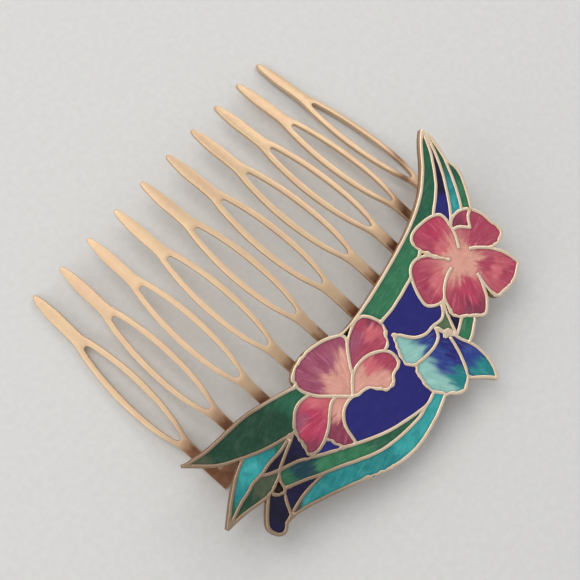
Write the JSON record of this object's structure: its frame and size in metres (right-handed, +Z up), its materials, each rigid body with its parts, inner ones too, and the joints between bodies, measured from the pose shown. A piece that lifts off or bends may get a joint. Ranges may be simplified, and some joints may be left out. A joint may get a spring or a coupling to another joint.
{
  "type": "decorative hair comb",
  "caption": "Hair comb with a stamped, curved metal blank of eyed tines under a flat cloisonne enamel ornament of flowers, a bell bloom and leaves, soldered to its spine.",
  "frame": {"origin": "middle of the box's underside, on the surface that the comb lies on", "axes": "+X along the row of tines, +Y from the ornament towards the tips, +Z up through the ornament's face as the comb lies"},
  "size_m": [0.0778, 0.0722, 0.0114],
  "materials": {
    "gilt_sheet": "satin gilt, lightly tumbled, duller brown near the ornament",
    "gilt_wire": "polished and gilt wire tops, slightly worn",
    "copper_plate": "gilt copper, dull on its back and edge",
    "solder": "dull soft solder",
    "enamel_deep_green": "opaque vitreous enamel, glossy",
    "enamel_green": "opaque vitreous enamel, glossy",
    "enamel_teal": "opaque vitreous enamel, glossy",
    "enamel_navy": "opaque vitreous enamel, glossy",
    "enamel_pink": "opaque vitreous enamel shaded from rose to peach, glossy",
    "enamel_aqua": "opaque vitreous enamel shaded from aqua to blue, glossy"
  },
  "bodies": {
    "root": {"comb_blank": "gilt_sheet", "base_plate": "copper_plate", "cloison_wires": "gilt_wire", "enamel_left_leaf": "enamel_deep_green", "enamel_crossing_leaf": "enamel_deep_green", "enamel_green_band": "enamel_green", "enamel_right_leaf": "enamel_green", "enamel_right_leaf_tip": "enamel_green", "enamel_green_strip": "enamel_green", "enamel_bell_calyx": "enamel_green", "enamel_small_leaf": "enamel_green", "enamel_teal_leaf": "enamel_teal", "enamel_teal_band": "enamel_teal", "enamel_teal_strip": "enamel_teal", "enamel_ground_sliver": "enamel_navy", "enamel_ground_left": "enamel_navy", "enamel_ground_triangle": "enamel_navy", "enamel_bud": "enamel_navy", "enamel_ground_notch": "enamel_navy", "enamel_ground_lower": "enamel_navy", "enamel_ground_upper": "enamel_navy", "enamel_ground_fan": "enamel_navy", "enamel_ground_stem": "enamel_navy", "enamel_petal_1": "enamel_pink", "enamel_petal_2": "enamel_pink", "enamel_petal_3": "enamel_pink", "enamel_petal_4": "enamel_pink", "enamel_petal_5": "enamel_pink", "enamel_flower_2": "enamel_pink", "enamel_petal_fold": "enamel_pink", "enamel_bell_left": "enamel_aqua", "enamel_bell_middle": "enamel_aqua", "enamel_bell_right": "enamel_aqua", "solder_pad_left": "solder", "solder_pad_right": "solder"}
  },
  "joints": []
}
